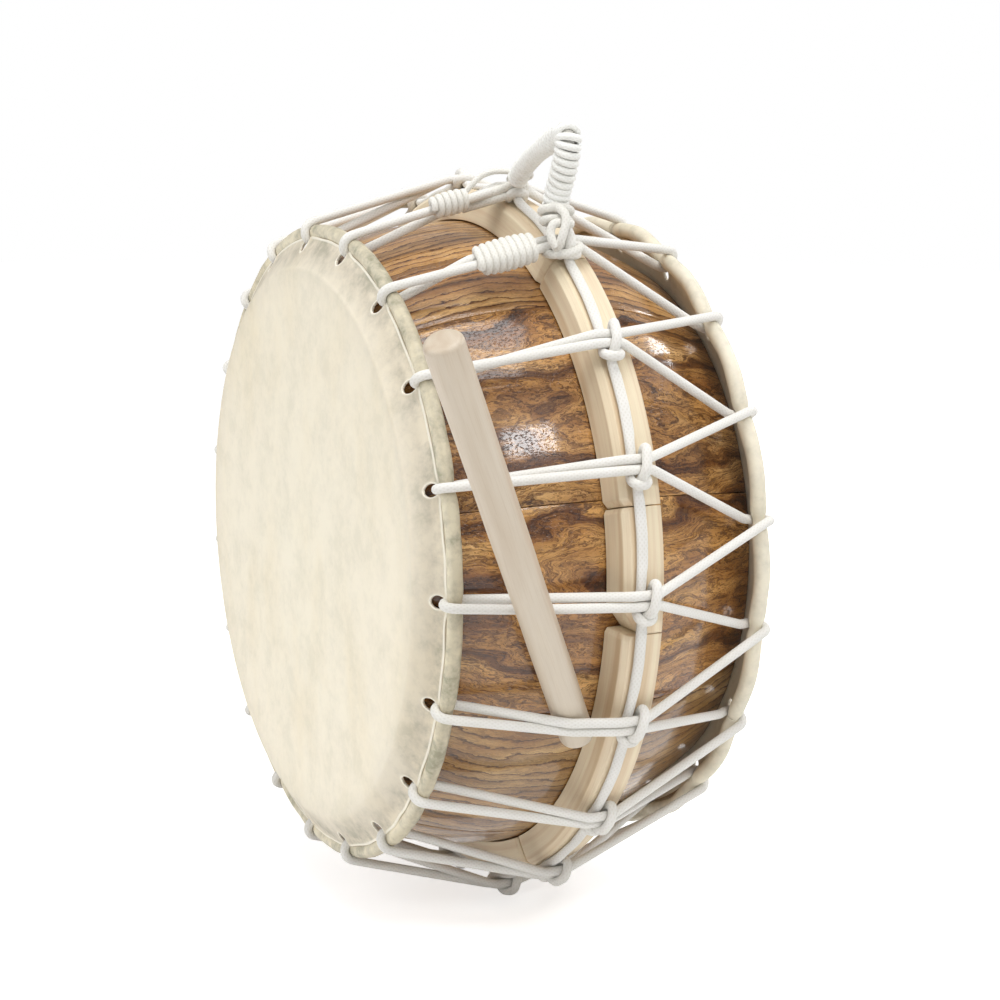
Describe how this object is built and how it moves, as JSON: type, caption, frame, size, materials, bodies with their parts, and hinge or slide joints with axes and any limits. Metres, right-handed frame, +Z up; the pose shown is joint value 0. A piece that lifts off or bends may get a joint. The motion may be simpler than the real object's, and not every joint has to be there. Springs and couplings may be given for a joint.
{
  "type": "korean folk drum",
  "caption": "Barrel drum with rope-laced hide heads, bent wooden wedges under a knotted girth cord, a wound rope handle and a wooden stick tucked under the lacing.",
  "frame": {"origin": "centre of the rear head's outer face", "axes": "+X along the drum's axis, from the front head out of the rear head; +Z up, towards the handle's side; -Y is the side with the stick"},
  "size_m": [0.2715, 0.5541, 0.5085],
  "materials": {
    "stave_wood": "glossy clear lacquer over boldly figured wood, dark streaks on honey brown",
    "wedge_wood": "bare planed softwood, matt",
    "stick_wood": "smooth bare hardwood, matt",
    "hide": "scraped raw hide, cream, matt, faintly mottled",
    "hoop": "plain iron rod, hidden inside the hide's hem",
    "rope": "white braided cotton rope, matt"
  },
  "bodies": {
    "drum": {"shell_stave_01": "stave_wood", "shell_stave_02": "stave_wood", "shell_stave_03": "stave_wood", "shell_stave_04": "stave_wood", "shell_stave_05": "stave_wood", "shell_stave_06": "stave_wood", "shell_stave_07": "stave_wood", "shell_stave_08": "stave_wood", "shell_stave_09": "stave_wood", "shell_stave_10": "stave_wood", "front_head": "hide", "rear_head": "hide", "front_hoop": "hoop", "rear_hoop": "hoop", "lacing_rope": "rope", "girth_cord": "rope", "wedge_block_1": "wedge_wood", "wedge_block_2": "wedge_wood", "wedge_block_3": "wedge_wood", "wedge_block_4": "wedge_wood", "wedge_block_5": "wedge_wood", "wedge_block_6": "wedge_wood", "wedge_block_7": "wedge_wood", "wedge_block_8": "wedge_wood", "near_whipping": "rope", "far_whipping": "rope"},
    "handle": {"handle_core": "rope", "handle_wrap": "rope"},
    "stick": {"drum_stick": "stick_wood"}
  },
  "joints": [
    {"name": "handle_rock", "type": "hinge", "parent": "drum", "child": "handle", "pos_m": [-0.1137, -0.1045, 0.2244], "axis": [0, -0.9065, -0.4222], "range_deg": [-40, 40]},
    {"name": "stick_slide", "type": "slide", "parent": "drum", "child": "stick", "axis": [-0.4283, -0.3545, 0.8312], "range_m": [0, 0.28]}
  ]
}
